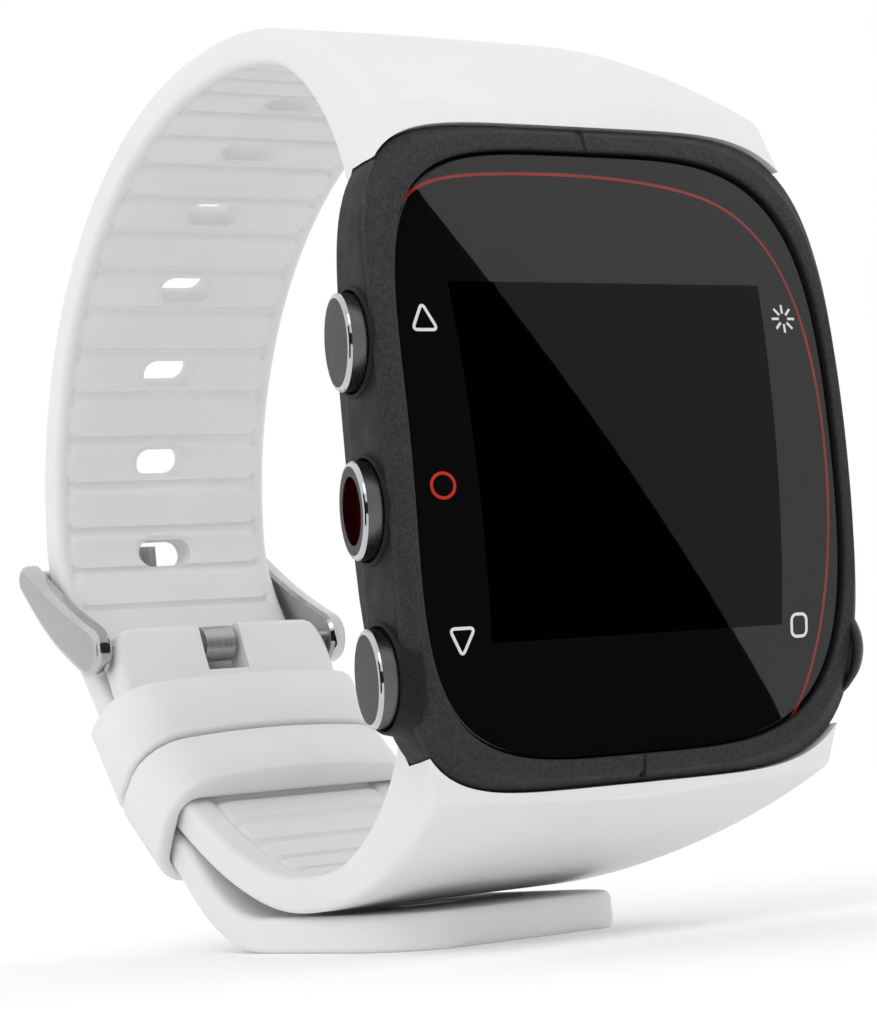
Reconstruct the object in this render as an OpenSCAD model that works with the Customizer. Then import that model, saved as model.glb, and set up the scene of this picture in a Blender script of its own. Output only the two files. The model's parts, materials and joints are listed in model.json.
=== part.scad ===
// Sports watch, fastened, standing on the folded-back end of its strap.
// The display faces -Y, twelve o'clock is +Z and three o'clock is +X.
// Inside the file a place is given as [x, back, up] from the middle of the window's front.

/* [Case] */
// Width across the case at its widest, just behind the bezel
case_w = 36; // [35.8:0.1:37]
// Height of the case between the two strap ends
case_h = 42.4; // [42:0.1:43.5]
// Depth from the bezel's middle to the back cover's joint
case_depth = 9.8; // [9.6:0.1:10.2]
// How square the rounded outlines are, as the superellipse's power
squareness = 4.1; // [3.6:0.1:4.6]
// How square the case's side wall is, likewise
side_squareness = 5.6; // [4.6:0.1:6]
// How far the bezel stands proud of the window
bezel_lip = 0.5; // [0.3:0.05:0.6]

/* [Window] */
// Width of the window
window_w = 33.2; // [32.6:0.1:33.4]
// Height of the window
window_h = 38.6; // [38:0.1:39]
// Radius of the window's curve from twelve to six o'clock
window_r = 87; // [80:1:100]
// Thickness of the window
window_t = 1.1; // [1:0.05:1.1]

/* [Buttons] */
// Diameter of a button cap
button_d = 6.1; // [5.6:0.1:6.2]
// How far a button travels when pressed
button_travel = 0.5; // [0.3:0.1:0.5]
// Height of the upper pair of buttons above the window's middle
button_high = 7.3; // [6.5:0.1:8]
// Height of the middle button
button_mid = -3.1; // [-3.6:0.1:-2.4]
// Height of the lower pair of buttons
button_low = -13.4; // [-14:0.1:-12.8]
// Lean of the buttons towards the wearer's arm, following the case's side
button_lean = 9; // [6:1:10]
// Distance of a cap's face behind the window's front
button_back = 4.15; // [4.1:0.05:4.2]

/* [Strap] */
// Half width of the strap where it meets the case
strap_wide = 16.6; // [16:0.1:17]
// Half width of the strap at the buckle
strap_narrow = 9.5; // [9:0.1:10]
// Thickness of the strap away from the case
strap_t = 2.9; // [2.6:0.1:3]
// Radius of the strap's outer face round the back of the wrist
loop_r = 33.6; // [33.3:0.1:33.9]
// Distance between neighbouring holes, as an angle round the back of the wrist
hole_pitch = 13.5; // [12.5:0.1:14.5]
// Length of a hole across the strap
hole_l = 4.7; // [4:0.1:5]
// Width of a hole along the strap
hole_w = 2.2; // [2:0.1:2.4]

/* [Buckle] */
// Radius of the buckle's pivot pin
pivot_r = 0.75; // [0.7:0.05:0.85]
// Radius of the bar that the tongue rests on
bar_r = 0.75; // [0.6:0.05:0.8]
// Thickness of a keeper's wall
keeper_t = 1.2; // [1:0.1:1.3]

/* [Hidden] */

$fn = 48;
LEFT = -1;
RIGHT = 1;
gap = 0.05;       // assembly gap between pieces that don't move
run = 0.03;       // radial running clearance of a pin or stem
slack = 0.3;      // room between soft pieces

// Places in the side plane, as [back, up].
loop_c = [33, 0.3];             // centre of the strap's curve round the wrist
foot = 30.9;                    // depth of the strap's underside below the window's middle
lay_out = 29.6;                 // outer radius of the long strap where it lies on the short one
short_out = 26.6;               // outer radius of the short strap under the keepers
short_t = 2.5;                  // thickness of the short strap there
pivot_at = [-17.7, 25.6];       // buckle pivot, as [angle, radius] round loop_c
bar_at = [-2, 34.6];            // tongue bar, likewise
pin_back = 7.2;                 // strap pins behind the window's front
pin_up = 21.9;                  // strap pins above and below the window's middle
pin_r = 0.5;
lug_w = 16;
lug_r = 1.15;
pocket_r = lug_r + 0.2;
strap_step = 0.4;               // strap's front edge behind the bezel's curve
bezel_slope = asin(pin_up / window_r);        // slope of the bezel's curve there
bar_plate_r = 1.2;              // round end of a buckle plate at the tongue bar
tongue_t = 0.9;
over_bar = bar_at[1] + bar_r + tongue_t / 2 + 0.05;
front = bezel_lip;
rear = loop_c[0] + over_bar * cos(bar_at[0]) + tongue_t / 2;
centre_back = (rear - front) / 2;

cavity = [15.4, 18];            // half size of the case's front opening, behind the window
room = [12.9, 16.6];            // half size of the room behind the board
step_back = 5.5;                // step between the two, which the board rests on
cell_back = 6.2;                // front of the battery
board_back = step_back - 0.85;  // front of the circuit board
panel_back = 2.7;               // front of the display panel
post_at = [10.4, 13.5];         // screw posts, as [x, up]
cover_t = 1.5;                  // thickness of the back cover
port_up = -15.1;                // middle of the charging port
port_size = [7.8, 2.9];

BUTTONS = [[LEFT, button_high], [LEFT, button_mid], [LEFT, button_low],
           [RIGHT, button_high], [RIGHT, button_low]];
// Distances along a button's axis from the case's middle plane.
cap_face = case_w / 2 + 0.75;   // outer face of a cap
collar_face = cap_face - 0.85;  // face of the collar round it
cap_floor = 17.2;               // floor of a cap's recess
cap_seat = cap_floor + button_travel + gap;
stem_r = 0.7;
clip_r = 0.95;
stem_end = 14.35;
clip_at = [14.75, 15.13];       // inner and outer faces of a retaining clip
seal_at = 16.2;

BLACK = "#222325";
STEEL = "#b9bcc0";
WHITE = "#eceded";

// ---- helpers ------------------------------------------------------------------------------

// Moves from the window's middle to the standing frame.
module stand() translate([0, -centre_back, foot]) children();

// Extrudes a drawing in [x, up] from one depth to another.
module layer(from, to)
    translate([0, from, 0]) rotate([-90, 0, 0]) mirror([0, 1, 0]) linear_extrude(to - from) union() children();

// Extrudes a drawing in [back, up] from one x to another.
module slice(from, to)
    translate([from, 0, 0]) rotate([90, 0, 90]) linear_extrude(to - from) union() children();

// Cylinder along X through a place in the side plane.
module cross_bar(at, r, half)
    translate([-half, at[0], at[1]]) rotate([0, 90, 0]) cylinder(r = r, h = 2 * half);

function power(v, p) = sign(v) * pow(abs(v), p);

// Superellipse with the given half sizes.
function soft_square(hw, hh, square, count = 72) =
    [for (i = [0:count - 1]) let (a = 360 * i / count)
        [hw * power(cos(a), 2 / square), hh * power(sin(a), 2 / square)]];

module soft_outline(hw, hh, square = squareness) polygon(soft_square(hw, hh, square));

module plate(x, up, from, to, at = [0, 0])
    translate([at[0] - x / 2, from, at[1] - up / 2]) cube([x, to - from, up]);

// Point at an angle and radius round the loop's centre.
function around(angle, r) = [loop_c[0] + r * cos(angle), loop_c[1] + r * sin(angle)];

function bezier(p, t) =
    let (s = 1 - t) s * s * s * p[0] + 3 * s * s * t * p[1] + 3 * s * t * t * p[2] + t * t * t * p[3];

function ease(t) = let (c = min(max(t, 0), 1)) c * c * (3 - 2 * c);

// ---- strap sweep --------------------------------------------------------------------------

// Outer line of the long strap: off the case, over the wrist, in to the short strap,
// under both keepers and back along the ground.
wrap_from = 2;
wrap_to = -28;
lay_to = -57;
back_to_ground = 38;
tip_back = 16.4;
tip_round = 8;
ground_holes = [36, 28.8];      // holes in the length on the ground, as distances back
OVER_TOP = [[-1.5, 18.6], [9.4, 28.8], [22, loop_c[1] + loop_r], [loop_c[0], loop_c[1] + loop_r]];
lay_end = around(lay_to, lay_out);
TO_GROUND = [lay_end, lay_end + 2 * [cos(lay_to - 90), sin(lay_to - 90)],
             [back_to_ground + 6.6, -foot], [back_to_ground, -foot]];
function long_radius(a) = loop_r - (loop_r - lay_out) * ease((wrap_from - a) / (wrap_from - wrap_to));
LONG_LINE = concat(
    [for (i = [0:15]) bezier(OVER_TOP, i / 16)],
    [for (a = [90:-5:lay_to + 1]) around(a, long_radius(a))],
    [for (i = [0:6]) bezier(TO_GROUND, i / 6)],
    [for (b = [34:-4:tip_back + 2]) [b, -foot]],
    [[tip_back + 1, -foot + 0.1], [tip_back, -foot + 0.5]]);

// Outer line of the short strap, from the case to the buckle's pivot.
short_join = -58;
short_low = -foot + strap_t - 0.4 + slack;
short_end = around(short_join, short_out);
FROM_CASE = [[-1.2, -18.9], [6.2, -24.7], [20, short_low], [30, short_low]];
TO_BUCKLE = [[30, short_low], [37, short_low],
             short_end - 6 * [cos(short_join + 90), sin(short_join + 90)], short_end];
SHORT_LINE = concat(
    [for (i = [0:11]) bezier(FROM_CASE, i / 12)],
    [for (i = [0:5]) bezier(TO_BUCKLE, i / 6)],
    [for (a = [short_join:5:pivot_at[0] + 3]) around(a, short_out)]);

function lengths(line, i = 0, so_far = 0) =
    i == len(line) ? [] :
    let (step = i == 0 ? 0 : norm(line[i] - line[i - 1]))
    concat([so_far + step], lengths(line, i + 1, so_far + step));

// Direction from each point of a line towards the wrist.
function inward(line, i, side) =
    let (a = line[max(i - 1, 0)], b = line[min(i + 1, len(line) - 1)], d = (b - a) / norm(b - a))
    side * [d[1], -d[0]];

taper_len = 42;
function half_width(s) =
    strap_narrow + (strap_wide - strap_narrow) * pow(1 - min(s, taper_len) / taper_len, 1.6);
function thickness(s, thin) = thin + 5.5 * pow(1 - min(s, 26) / 26, 1.4);

// One rounded section of the strap: x runs across it and d runs inwards.
edge_r = 0.9;
SECTION = [[-1, 0, 1, 0], [1, 0, -1, 0], [1, 0, 0, 1], [1, 1, 0, -1], [1, 1, -1, 0], [-1, 1, 1, 0],
           [-1, 1, 0, -1], [-1, 0, 0, 1]];
function ring(at, dir, hw, t) =
    [for (c = SECTION) let (d = c[1] * t + c[3] * edge_r, q = at + d * dir)
        [c[0] * hw + c[2] * edge_r, q[0], q[1]]];

module sweep(line, side, thin, tip = 0) {
    s = lengths(line);
    total = s[len(s) - 1];
    n = len(SECTION);
    rings = [for (i = [0:len(line) - 1])
        let (left = total - s[i],
             round_off = left < tip ? tip - sqrt(max(0, 2 * tip * left - left * left)) : 0)
        ring(line[i], inward(line, i, side), half_width(s[i]) - 0.5 * round_off, thickness(s[i], thin))];
    faces = concat(
        [[for (k = [n - 1:-1:0]) k]],
        [[for (k = [0:n - 1]) (len(line) - 1) * n + k]],
        [for (i = [0:len(line) - 2], k = [0:n - 1])
            [i * n + k, i * n + (k + 1) % n, (i + 1) * n + (k + 1) % n, (i + 1) * n + k]]);
    flip = side < 0;
    polyhedron([for (r = rings) for (p = r) p],
               flip ? faces : [for (f = faces) [for (k = [len(f) - 1:-1:0]) f[k]]]);
}

// ---- case ---------------------------------------------------------------------------------

// Rounded square that narrows towards the wrist, with a flat front.
module case_block(grow = 0) {
    hw = case_w / 2 + grow;
    hh = case_h / 2 + grow;
    hull() {
        layer(-0.8 - grow, -0.7) soft_outline(hw - 0.8, hh - 0.6);
        layer(0.6, 0.8) soft_outline(hw, hh, side_squareness);
        layer(5.8, 6) soft_outline(hw - 0.9, hh - 0.3, side_squareness);
        layer(case_depth - 0.1, case_depth + grow) soft_outline(hw - 3.6, hh - 2.2);
    }
}

// Outer body of the case, with its front curved to the window's bend.
module case_body()
    intersection() {
        case_block();
        cross_bar([window_r, 0], window_r + bezel_lip, case_w);
    }

module strap_lug(side)
    difference() {
        union() {
            cross_bar([pin_back, side * pin_up], lug_r, lug_w / 2);
            translate([-lug_w / 2, pin_back - lug_r, side > 0 ? cavity[1] + 0.5 : -pin_up])
                cube([lug_w, 2 * lug_r, pin_up - cavity[1] - 0.5]);
        }
        cross_bar([pin_back, side * pin_up], pin_r + run, lug_w);
    }

// Frame of a button: z runs outwards along its axis, from the case's middle plane.
module button_axis(side, up)
    translate([0, button_back - cap_face * sin(button_lean), up])
        rotate([0, 0, side * button_lean]) rotate([0, side * 90, 0]) children();

// Repeats its children at the four screws, with z running towards the wrist.
module at_screws(from)
    for (sx = [-1, 1], su = [-1, 1])
        translate([sx * post_at[0], from, su * post_at[1]]) rotate([-90, 0, 0]) children();

module case_frame() {
    groove_at = case_depth - 0.5;
    color(BLACK) stand() {
        difference() {
            union() {
                case_body();
                for (b = BUTTONS) button_axis(b[0], b[1])
                    translate([0, 0, cap_floor - 1]) cylinder(r = button_d / 2 + 0.75, h = collar_face - cap_floor + 1);
            }
            difference() {
                layer(-3, 6) soft_outline(window_w / 2 + gap, window_h / 2 + gap);
                cross_bar([window_r, 0], window_r - window_t - 0.22, case_w);
            }
            layer(-3, step_back) soft_outline(cavity[0], cavity[1]);
            difference() {
                layer(step_back - 1, case_depth + 1) soft_outline(room[0], room[1]);
                at_screws(step_back) cylinder(r = 2, h = case_depth - step_back);
            }
            difference() {
                layer(groove_at, case_depth + 1) soft_outline(room[0] + 1.05, room[1] + 1.05);
                layer(groove_at - 1, case_depth + 2) soft_outline(room[0] + 0.4, room[1] + 0.4);
            }
            for (b = BUTTONS) button_axis(b[0], b[1]) {
                translate([0, 0, cap_floor]) cylinder(d = button_d + 0.2, h = 5);
                translate([0, 0, stem_end]) cylinder(r = stem_r + gap, h = 5);
                translate([0, 0, stem_end - 1]) cylinder(r = clip_r + 0.1, h = clip_at[1] - stem_end + 1.05);
            }
            at_screws(6.8) cylinder(r = 0.62, h = 5);
        }
        strap_lug(1);
        strap_lug(-1);
    }
}

module back_cover()
    color("#2b2c2e") stand() difference() {
        layer(case_depth + 0.1, cover_back) soft_outline(case_w / 2 - 3.8, case_h / 2 - 2.4);
        at_screws(0) cylinder(r = 0.7, h = 20);
        at_screws(case_depth + 0.6) cylinder(r = 1.3, h = 5);
        plate(port_size[0], port_size[1], 5, 20, [0, port_up]);
        usb_cover_room();
    }

module back_gasket()
    color("#7a2f2b") stand() difference() {
        layer(case_depth - 0.45, case_depth + 0.08) soft_outline(room[0] + 1, room[1] + 1);
        layer(case_depth - 1, case_depth + 1) soft_outline(room[0] + 0.45, room[1] + 0.45);
    }

module back_screws()
    color(STEEL) stand() difference() {
        at_screws(0) {
            translate([0, 0, 7]) cylinder(r = 0.59, h = case_depth - 6);
            translate([0, 0, case_depth + 0.65]) cylinder(r = 1.2, h = 0.75);
        }
        at_screws(case_depth + 1.05) cylinder(r = 0.6, h = 1, $fn = 6);
    }

module window()
    color([0.03, 0.03, 0.035]) stand() intersection() {
        layer(-3, 6) soft_outline(window_w / 2, window_h / 2);
        difference() {
            cross_bar([window_r, 0], window_r, case_w);
            cross_bar([window_r, 0], window_r - window_t, case_w + 1);
        }
    }

module window_seal()
    color("#1a1a1a") stand() intersection() {
        difference() {
            layer(-3, 6) soft_outline(window_w / 2, window_h / 2);
            layer(-4, 7) soft_outline(cavity[0], cavity[1]);
        }
        difference() {
            cross_bar([window_r, 0], window_r - window_t - 0.02, case_w);
            cross_bar([window_r, 0], window_r - window_t - 0.2, case_w + 1);
        }
    }

// ---- electronics --------------------------------------------------------------------------

panel_up = -0.6;                // middle of the display
module display_panel()
    color("#0d0e10") stand() {
        plate(24.6, 27, panel_back, panel_back + 1, [0, panel_up]);
        plate(23.8, 26, panel_back + 1, panel_back + 1.4, [0, panel_up]);
    }

module display_frame()
    color("#d8d8d2") stand() difference() {
        plate(25.4, 30, 3.1, board_back - 0.05, [0, panel_up]);
        plate(24.7, 27.1, 0, panel_back + 1.45, [0, panel_up]);
        plate(20, 20, 0, 20, [0, panel_up]);
        plate(11, 1.6, 0, 20, [0, -14.9]);
    }

module display_flex()
    color("#b5652a") stand() {
        plate(10, 1.1, 3.2, 3.35, [0, -14.7]);
        plate(10, 0.15, 3.35, board_back - 0.01, [0, -15.175]);
    }

module main_board()
    color("#1f5c3a") stand() difference() {
        layer(board_back, step_back - 0.05) soft_outline(13.4, 17.2);
        for (sx = [-1, 1]) plate(4, 4, 0, 20, [sx * 15, 0]);
    }

module processor_shield()
    color(STEEL) stand() plate(10, 3.4, step_back - 0.04, step_back + 1.3, [-2, 14]);

module gps_antenna()
    color("#cbbd93") stand() plate(16, 1.4, 3.3, board_back - 0.02, [0, 15.7]);

module buzzer()
    color("#c9a24a") stand() translate([0, case_depth - 1.5, 13.6]) rotate([-90, 0, 0]) {
        cylinder(r = 2.2, h = 1.3);
        translate([0, 0, 1.2]) cylinder(r = 2.6, h = 0.35);
    }

module battery()
    color("#9aa1a8") stand() {
        plate(20, 21, cell_back, case_depth - 0.3, [0, -0.7]);
        plate(14, 1.2, cell_back + 0.6, cell_back + 1.8, [0, 10.35]);
    }

flex_x = 13.05;                 // outer face of the two switch strips
module switch_flex()
    color("#b5652a") stand()
        for (side = [-1, 1])
            plate(0.2, 24.4, 2.9, board_back - 0.05, [side * (flex_x - 0.1), -2.7]);

module switch_domes()
    color(STEEL) stand()
        for (b = BUTTONS)
            button_axis(b[0], b[1]) translate([0, 0, flex_x + 0.4])
                cylinder(r1 = 0.85, r2 = 0.5, h = 0.34);

module usb_socket()
    color(STEEL) stand() difference() {
        plate(7.4, 2.6, step_back - 0.03, case_depth, [0, port_up]);
        plate(6.6, 1.8, step_back + 0.6, 20, [0, port_up]);
    }

// ---- charging port cover ------------------------------------------------------------------

cover_back = case_depth + 0.1 + cover_t;      // outer face of the back cover
flap_t = 0.8;
flap_size = [10.4, 4.6];
flap_hinge = [cover_back - 0.45, port_up + flap_size[1] / 2 + 0.5];

// Shallow recess that takes the port cover and its hinge.
module usb_cover_room() {
    plate(flap_size[0] + 0.3, flap_size[1] + 0.3, cover_back - flap_t - 0.05, 20, [0, port_up]);
    plate(flap_size[0] + 0.3, 2.2, cover_back - 0.95, 20, [0, flap_hinge[1] - 0.2]);
}

module usb_cover()
    color("#3a3b3d") stand() {
        plate(flap_size[0], flap_size[1], cover_back - flap_t, cover_back - 0.02, [0, port_up]);
        plate(6.4, 1.6, cover_back - 2, cover_back - flap_t, [0, port_up]);
        cross_bar(flap_hinge, 0.42, flap_size[0] / 2);
        plate(flap_size[0], 0.7, cover_back - 0.75, cover_back - 0.15, [0, flap_hinge[1] - 0.5]);
    }

// ---- buttons ------------------------------------------------------------------------------

module button_cap(side, up, hollow = 0)
    color(STEEL) stand() button_axis(side, up) difference() {
        union() {
            translate([0, 0, cap_seat]) cylinder(d = button_d, h = cap_face - cap_seat - 0.4);
            translate([0, 0, cap_face - 0.4]) cylinder(d1 = button_d, d2 = button_d - 0.8, h = 0.4);
            translate([0, 0, stem_end]) cylinder(r = stem_r, h = cap_seat - stem_end + 0.2);
        }
        translate([0, 0, clip_at[0] - 0.02]) difference() {
            cylinder(r = 2, h = clip_at[1] - clip_at[0] + 0.04);
            translate([0, 0, -1]) cylinder(r = stem_r - 0.25, h = 3);
        }
        translate([0, 0, seal_at - 0.25]) difference() {
            cylinder(r = 2, h = 0.5);
            translate([0, 0, -1]) cylinder(r = stem_r - 0.34, h = 3);
        }
        if (hollow > 0) translate([0, 0, cap_face - 0.5]) cylinder(r = hollow, h = 2);
    }

module button_seal(side, up)
    color("#202020") stand() button_axis(side, up) translate([0, 0, seal_at])
        rotate_extrude() translate([stem_r - 0.14, 0]) circle(r = 0.18);

module button_clip(side, up)
    color(STEEL) stand() button_axis(side, up) translate([0, 0, clip_at[0]]) difference() {
        cylinder(r = clip_r, h = clip_at[1] - clip_at[0]);
        translate([0, 0, -1]) cylinder(r = stem_r - 0.23, h = 3);
        translate([-0.42, -3, -1]) cube([0.84, 3, 3]);
    }

insert_r = 2.1;
module up_button() button_cap(LEFT, button_high);
module up_button_seal() button_seal(LEFT, button_high);
module up_button_clip() button_clip(LEFT, button_high);
module start_button() button_cap(LEFT, button_mid, insert_r + 0.02);
module start_button_insert()
    color("#5a1216") stand() button_axis(LEFT, button_mid)
        translate([0, 0, cap_face - 0.48]) cylinder(r = insert_r, h = 0.42);
module start_button_seal() button_seal(LEFT, button_mid);
module start_button_clip() button_clip(LEFT, button_mid);
module down_button() button_cap(LEFT, button_low);
module down_button_seal() button_seal(LEFT, button_low);
module down_button_clip() button_clip(LEFT, button_low);
module light_button() button_cap(RIGHT, button_high);
module light_button_seal() button_seal(RIGHT, button_high);
module light_button_clip() button_clip(RIGHT, button_high);
module back_button() button_cap(RIGHT, button_low);
module back_button_seal() button_seal(RIGHT, button_low);
module back_button_clip() button_clip(RIGHT, button_low);

// ---- straps -------------------------------------------------------------------------------

// Room in a strap's end for the case, its lug and its pin.
module strap_end_room(side) {
    case_block(0.08);
    cross_bar([pin_back, side * pin_up], pocket_r, lug_w / 2 + 0.2);
    translate([-lug_w / 2 - 0.2, pin_back - pocket_r, side > 0 ? 10 : -pin_up])
        cube([lug_w + 0.4, 2 * pocket_r, pin_up - 10]);
    cross_bar([pin_back, side * pin_up], pin_r + run, 14);
}

// Room ahead of the bezel's slope at one end, where a strap's front edge is cut back.
module ahead_of_bezel(side)
    translate([-40, window_r, 0]) rotate([-side * bezel_slope, 0, 0])
        translate([0, -window_r - bezel_lip + strap_step - 20, -20]) cube([80, 20, 40]);

module hole_shape() {
    square([hole_l - hole_w, hole_w], center = true);
    for (sx = [-1, 1]) translate([sx * (hole_l - hole_w) / 2, 0]) circle(d = hole_w);
}

first_hole = 81.5;
tongue_holes = [-14.3, -15.9];  // hole that the tongue has stretched, as two overlapping ones
module upper_strap()
    color(WHITE) stand() difference() {
        sweep(LONG_LINE, 1, strap_t - 0.4, tip_round);
        ahead_of_bezel(1);
        strap_end_room(1);
        for (a = [first_hole:-hole_pitch:-1])
            translate([0, loop_c[0], loop_c[1]]) rotate([a, 0, 0]) rotate([-90, 0, 0])
                translate([0, 0, loop_r - 5]) linear_extrude(8) hole_shape();
        for (a = tongue_holes)
            translate([0, loop_c[0], loop_c[1]]) rotate([a, 0, 0]) rotate([-90, 0, 0])
                translate([0, 0, lay_out - 5]) linear_extrude(10) hole_shape();
        for (b = ground_holes)
            translate([0, b, -foot - 1]) linear_extrude(4) hole_shape();
    }

module upper_strap_pin() color(STEEL) stand() cross_bar([pin_back, pin_up], pin_r, 13.9);

module lower_strap()
    color(WHITE) stand() difference() {
        sweep(SHORT_LINE, -1, short_t, 0);
        ahead_of_bezel(-1);
        strap_end_room(-1);
        cross_bar(around(pivot_at[0], pivot_at[1]), pivot_r + run, 20);
        tongue_slot();
    }

module lower_strap_pin() color(STEEL) stand() cross_bar([pin_back, -pin_up], pin_r, 13.9);

// Slot in the short strap's end that the tongue swings in.
module tongue_slot()
    translate([0, loop_c[0], loop_c[1]]) rotate([pivot_at[0] + 3, 0, 0])
        translate([-1.8, 20, -4]) cube([3.6, 14, 14]);

// ---- keepers ------------------------------------------------------------------------------

keeper_in = short_out - short_t - slack;
keeper_out = lay_out + slack;
module keeper(from, to)
    color(WHITE) stand() translate([0, loop_c[0], loop_c[1]]) rotate([0, 90, 0]) {
        hw = strap_narrow + slack + keeper_t;
        difference() {
            rotate([0, 0, from + 90]) translate([0, 0, -hw]) rotate_extrude(angle = to - from)
                translate([keeper_in - keeper_t, 0])
                    square([keeper_out - keeper_in + 2 * keeper_t, 2 * hw]);
            translate([0, 0, -hw + keeper_t]) difference() {
                cylinder(r = keeper_out, h = 2 * hw - 2 * keeper_t, $fn = 96);
                translate([0, 0, -1]) cylinder(r = keeper_in, h = 40, $fn = 96);
            }
        }
    }

module sliding_keeper() keeper(-42.4, -28.4);
module fixed_keeper() keeper(-57, -43);

// ---- buckle -------------------------------------------------------------------------------

pivot_c = around(pivot_at[0], pivot_at[1]);
bar_c = around(bar_at[0], bar_at[1]);
plate_in = strap_narrow + slack;
plate_out = plate_in + 1.4;
pivot_plate_r = 2;

// Straight-sided drawing that joins two circles on their common tangents.
module taper(a, ra, b, rb) {
    d = b - a;
    lean = acos((ra - rb) / norm(d));
    along = atan2(d[1], d[0]);
    translate(a) circle(r = ra);
    translate(b) circle(r = rb);
    polygon([a + ra * [cos(along + lean), sin(along + lean)], b + rb * [cos(along + lean), sin(along + lean)],
             b + rb * [cos(along - lean), sin(along - lean)], a + ra * [cos(along - lean), sin(along - lean)]]);
}

module buckle_frame()
    color(STEEL) stand() {
        for (side = [-1, 1])
            difference() {
                slice(side > 0 ? plate_in : -plate_out, side > 0 ? plate_out : -plate_in)
                    taper(pivot_c, pivot_plate_r, bar_c, bar_plate_r);
                cross_bar(pivot_c, pivot_r + run, 20);
            }
        cross_bar(bar_c, bar_r, plate_in + 0.3);
    }

module buckle_pivot()
    color(STEEL) stand() cross_bar(pivot_c, pivot_r, plate_out - 0.1);

// Flat strip of even thickness along a line of points.
module ribbon(line, t) {
    last = len(line) - 1;
    function side_at(i) =
        let (d = line[min(i + 1, last)] - line[max(i - 1, 0)]) t / 2 * [-d[1], d[0]] / norm(d);
    polygon(concat([for (i = [0:last]) line[i] + side_at(i)], [for (i = [last:-1:0]) line[i] - side_at(i)]));
}

// Tongue: an eye on the pivot, a stem through the strap's hole and a tip over the bar.
tongue_w = 2.6;
TONGUE_LINE = [around(pivot_at[0], pivot_at[1] + 0.4), around(-16.2, 27.2), around(-14.9, 28.7),
               around(-14.4, 30.2), around(-13.6, 31.6), around(-12.3, 32.9), around(-9.8, 34.3),
               around(-6.8, 35.25), around(bar_at[0], over_bar), around(-bar_at[0], over_bar)];
module buckle_tongue()
    color(STEEL) stand() difference() {
        union() {
            cross_bar(pivot_c, 1.4, tongue_w / 2);
            slice(-tongue_w / 2, tongue_w / 2) ribbon(TONGUE_LINE, tongue_t);
        }
        cross_bar(pivot_c, pivot_r + run, 10);
    }

case_frame();
back_cover();
back_gasket();
back_screws();
window();
window_seal();
display_panel();
display_frame();
display_flex();
main_board();
processor_shield();
gps_antenna();
buzzer();
battery();
switch_flex();
switch_domes();
usb_socket();
usb_cover();
up_button();
up_button_seal();
up_button_clip();
start_button();
start_button_insert();
start_button_seal();
start_button_clip();
down_button();
down_button_seal();
down_button_clip();
light_button();
light_button_seal();
light_button_clip();
back_button();
back_button_seal();
back_button_clip();
upper_strap();
upper_strap_pin();
lower_strap();
lower_strap_pin();
fixed_keeper();
sliding_keeper();
buckle_frame();
buckle_pivot();
buckle_tongue();
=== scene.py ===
"""A GPS running watch, fastened and standing on its strap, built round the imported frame.

Places are given as (x, back, up) in millimetres from the middle of the window's front:
x runs across the wrist, back runs away from the glass and up runs towards the upper strap.
"""

import json
from math import acos, asin, atan2, ceil, copysign, cos, degrees, hypot, pi, radians, sin, sqrt, tau

import bmesh
import bpy
from mathutils import Matrix, Vector


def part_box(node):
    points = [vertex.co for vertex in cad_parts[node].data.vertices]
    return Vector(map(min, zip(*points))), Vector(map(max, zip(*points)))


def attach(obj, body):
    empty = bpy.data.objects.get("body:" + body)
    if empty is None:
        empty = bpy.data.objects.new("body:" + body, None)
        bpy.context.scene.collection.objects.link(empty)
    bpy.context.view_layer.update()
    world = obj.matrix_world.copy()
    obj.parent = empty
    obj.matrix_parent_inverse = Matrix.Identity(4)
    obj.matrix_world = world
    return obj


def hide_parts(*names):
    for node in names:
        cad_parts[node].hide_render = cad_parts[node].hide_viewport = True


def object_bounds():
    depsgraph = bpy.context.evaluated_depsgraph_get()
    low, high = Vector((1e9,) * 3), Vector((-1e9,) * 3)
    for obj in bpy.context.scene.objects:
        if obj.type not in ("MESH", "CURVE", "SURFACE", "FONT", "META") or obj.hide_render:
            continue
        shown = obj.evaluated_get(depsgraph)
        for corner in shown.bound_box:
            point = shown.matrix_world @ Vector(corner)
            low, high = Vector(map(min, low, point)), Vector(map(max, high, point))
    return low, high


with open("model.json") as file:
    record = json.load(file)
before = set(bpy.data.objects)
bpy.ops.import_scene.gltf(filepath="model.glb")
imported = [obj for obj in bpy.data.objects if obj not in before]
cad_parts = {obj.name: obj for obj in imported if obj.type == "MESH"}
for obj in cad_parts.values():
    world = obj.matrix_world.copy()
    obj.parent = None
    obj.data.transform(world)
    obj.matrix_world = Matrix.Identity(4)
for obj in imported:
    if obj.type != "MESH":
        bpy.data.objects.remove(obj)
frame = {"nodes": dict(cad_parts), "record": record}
cad_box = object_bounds()

MM = 0.001
WINDOW_LOW, WINDOW_HIGH = (Vector(corner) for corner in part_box("window"))
FRONT = WINDOW_LOW.y
MIDDLE = (WINDOW_LOW.z + WINDOW_HIGH.z) / 2
FLOOR = cad_box[0][2]

# ---- driving dimensions, in millimetres and degrees ------------------------------------------

SQUARENESS = 4.1
SIDE_SQUARENESS = 5.6
CASE_HALF = (18.0, 21.2)
CASE_DEPTH = 9.8
WINDOW_HALF = (16.6, 19.3)
WINDOW_R = 87
WINDOW_T = 1.1
BEZEL_LIP = 0.5
GAP = 0.05
CAVITY = (15.4, 18.0)
ROOM = (12.9, 16.6)
STEP_BACK = 5.5

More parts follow.
